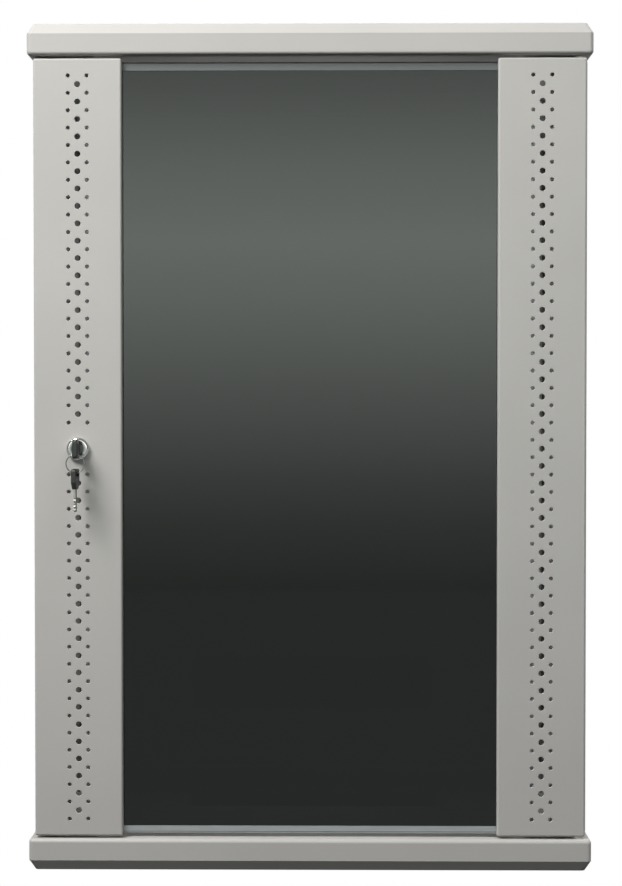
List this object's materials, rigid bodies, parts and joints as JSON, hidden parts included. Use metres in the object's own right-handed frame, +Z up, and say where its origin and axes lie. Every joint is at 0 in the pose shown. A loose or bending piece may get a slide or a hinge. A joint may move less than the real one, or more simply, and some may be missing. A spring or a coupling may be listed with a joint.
{
  "type": "wall-mounted network cabinet",
  "caption": "Wall-mounted cabinet for 19-inch network equipment, with a tinted glass door between perforated steel strips, a cam lock with keys, and removable side panels.",
  "frame": {"origin": "middle of the surface that the cabinet stands on, under the middle of its covers", "axes": "+Z up, -Y to the front where the door is, +X to the right when facing the door"},
  "size_m": [0.6, 0.4806, 0.901],
  "materials": {
    "powder_coat": "light grey powder coat, fine satin texture",
    "zinc_steel": "bright zinc-plated folded steel",
    "fasteners": "zinc-plated",
    "aluminium_rail": "satin anodised",
    "tinted_glass": "smoke-tinted, toughened",
    "foam": "closed-cell foam",
    "rubber": "matte",
    "black_plastic": "moulded",
    "white_nylon": "natural nylon",
    "pin_steel": "turned, plain",
    "chrome": "bright chrome plate",
    "cam_steel": "yellow zinc-plated",
    "key_steel": "nickel-plated"
  },
  "bodies": {
    "cabinet": {"top_cover": "powder_coat", "bottom_cover": "powder_coat", "roof_entry_plate": "powder_coat", "roof_entry_screws": "fasteners", "floor_entry_trim": "black_plastic", "rear_entry_trim": "black_plastic", "front_post_left": "powder_coat", "front_post_right": "powder_coat", "rear_post_left": "powder_coat", "rear_post_right": "powder_coat", "upper_side_rail_left": "zinc_steel", "upper_side_rail_right": "zinc_steel", "lower_side_rail_left": "zinc_steel", "lower_side_rail_right": "zinc_steel", "equipment_rail_front_left": "zinc_steel", "equipment_rail_front_right": "zinc_steel", "equipment_rail_rear_left": "zinc_steel", "equipment_rail_rear_right": "zinc_steel", "rail_brackets": "zinc_steel", "rail_bolts": "fasteners", "frame_screws": "fasteners", "rear_panel": "powder_coat", "rear_panel_screws": "fasteners", "earth_studs": "fasteners", "earth_nuts": "fasteners", "door_bumpers": "rubber", "hinge_pin_lower": "pin_steel", "hinge_washer_lower": "white_nylon"},
    "door": {"door_strip_left": "powder_coat", "door_strip_right": "powder_coat", "door_glass": "tinted_glass", "glass_rail_top": "aluminium_rail", "glass_rail_bottom": "aluminium_rail", "glass_seals": "foam", "glass_clamps": "zinc_steel", "clamp_studs": "fasteners", "hinge_brackets": "zinc_steel", "hinge_washer_upper": "white_nylon", "hinge_spring": "pin_steel", "lock_body": "chrome", "lock_nut": "fasteners"},
    "upper_pin": {"hinge_pin_upper": "pin_steel"},
    "plug": {"lock_plug": "chrome", "lock_cam": "cam_steel", "cam_screw": "fasteners"},
    "key": {"key_blade": "key_steel", "key_bow": "black_plastic"},
    "ring": {"key_ring": "pin_steel"},
    "spare_key": {"spare_key_blade": "key_steel", "spare_key_bow": "black_plastic"},
    "panel_left": {"side_panel_left": "powder_coat", "latch_body_left": "chrome", "latch_nut_left": "fasteners"},
    "latch_left": {"latch_rotor_left": "chrome", "latch_cam_left": "cam_steel"},
    "panel_right": {"side_panel_right": "powder_coat", "latch_body_right": "chrome", "latch_nut_right": "fasteners"},
    "latch_right": {"latch_rotor_right": "chrome", "latch_cam_right": "cam_steel"}
  },
  "joints": [
    {"name": "door_hinge", "type": "hinge", "parent": "cabinet", "child": "door", "pos_m": [0.2865, -0.213, 0.4505], "axis": [0, 0, 1], "range_deg": [0, 180]},
    {"name": "hinge_pin_pull", "type": "slide", "parent": "door", "child": "upper_pin", "axis": [0, 0, 1], "range_m": [-0.012, 0], "stiffness_N_per_m": 300, "springref_m": 0.01, "deforming": ["hinge_spring"]},
    {"name": "lock_turn", "type": "hinge", "parent": "door", "child": "plug", "pos_m": [-0.2465, -0.215, 0.4505], "axis": [0, -1, 0], "range_deg": [0, 90]},
    {"name": "key_pull", "type": "slide", "parent": "plug", "child": "key", "axis": [0, -1, 0], "range_m": [0, 0.03]},
    {"name": "ring_swing", "type": "hinge", "parent": "key", "child": "ring", "pos_m": [-0.2465, -0.2455, 0.44473], "axis": [1, 0, 0], "range_deg": [-60, 6]},
    {"name": "spare_key_swing", "type": "hinge", "parent": "ring", "child": "spare_key", "pos_m": [-0.2465, -0.2455, 0.42553], "axis": [1, 0, 0], "range_deg": [-60, 8]},
    {"name": "panel_left_pull", "type": "slide", "parent": "cabinet", "child": "panel_left", "axis": [-1, 0, 0], "range_m": [0, 0.06]},
    {"name": "latch_left_turn", "type": "hinge", "parent": "panel_left", "child": "latch_left", "pos_m": [-0.29, 0, 0.768], "axis": [1, 0, 0], "range_deg": [0, 90]},
    {"name": "panel_right_pull", "type": "slide", "parent": "cabinet", "child": "panel_right", "axis": [1, 0, 0], "range_m": [0, 0.06]},
    {"name": "latch_right_turn", "type": "hinge", "parent": "panel_right", "child": "latch_right", "pos_m": [0.29, 0, 0.768], "axis": [1, 0, 0], "range_deg": [0, 90]}
  ]
}
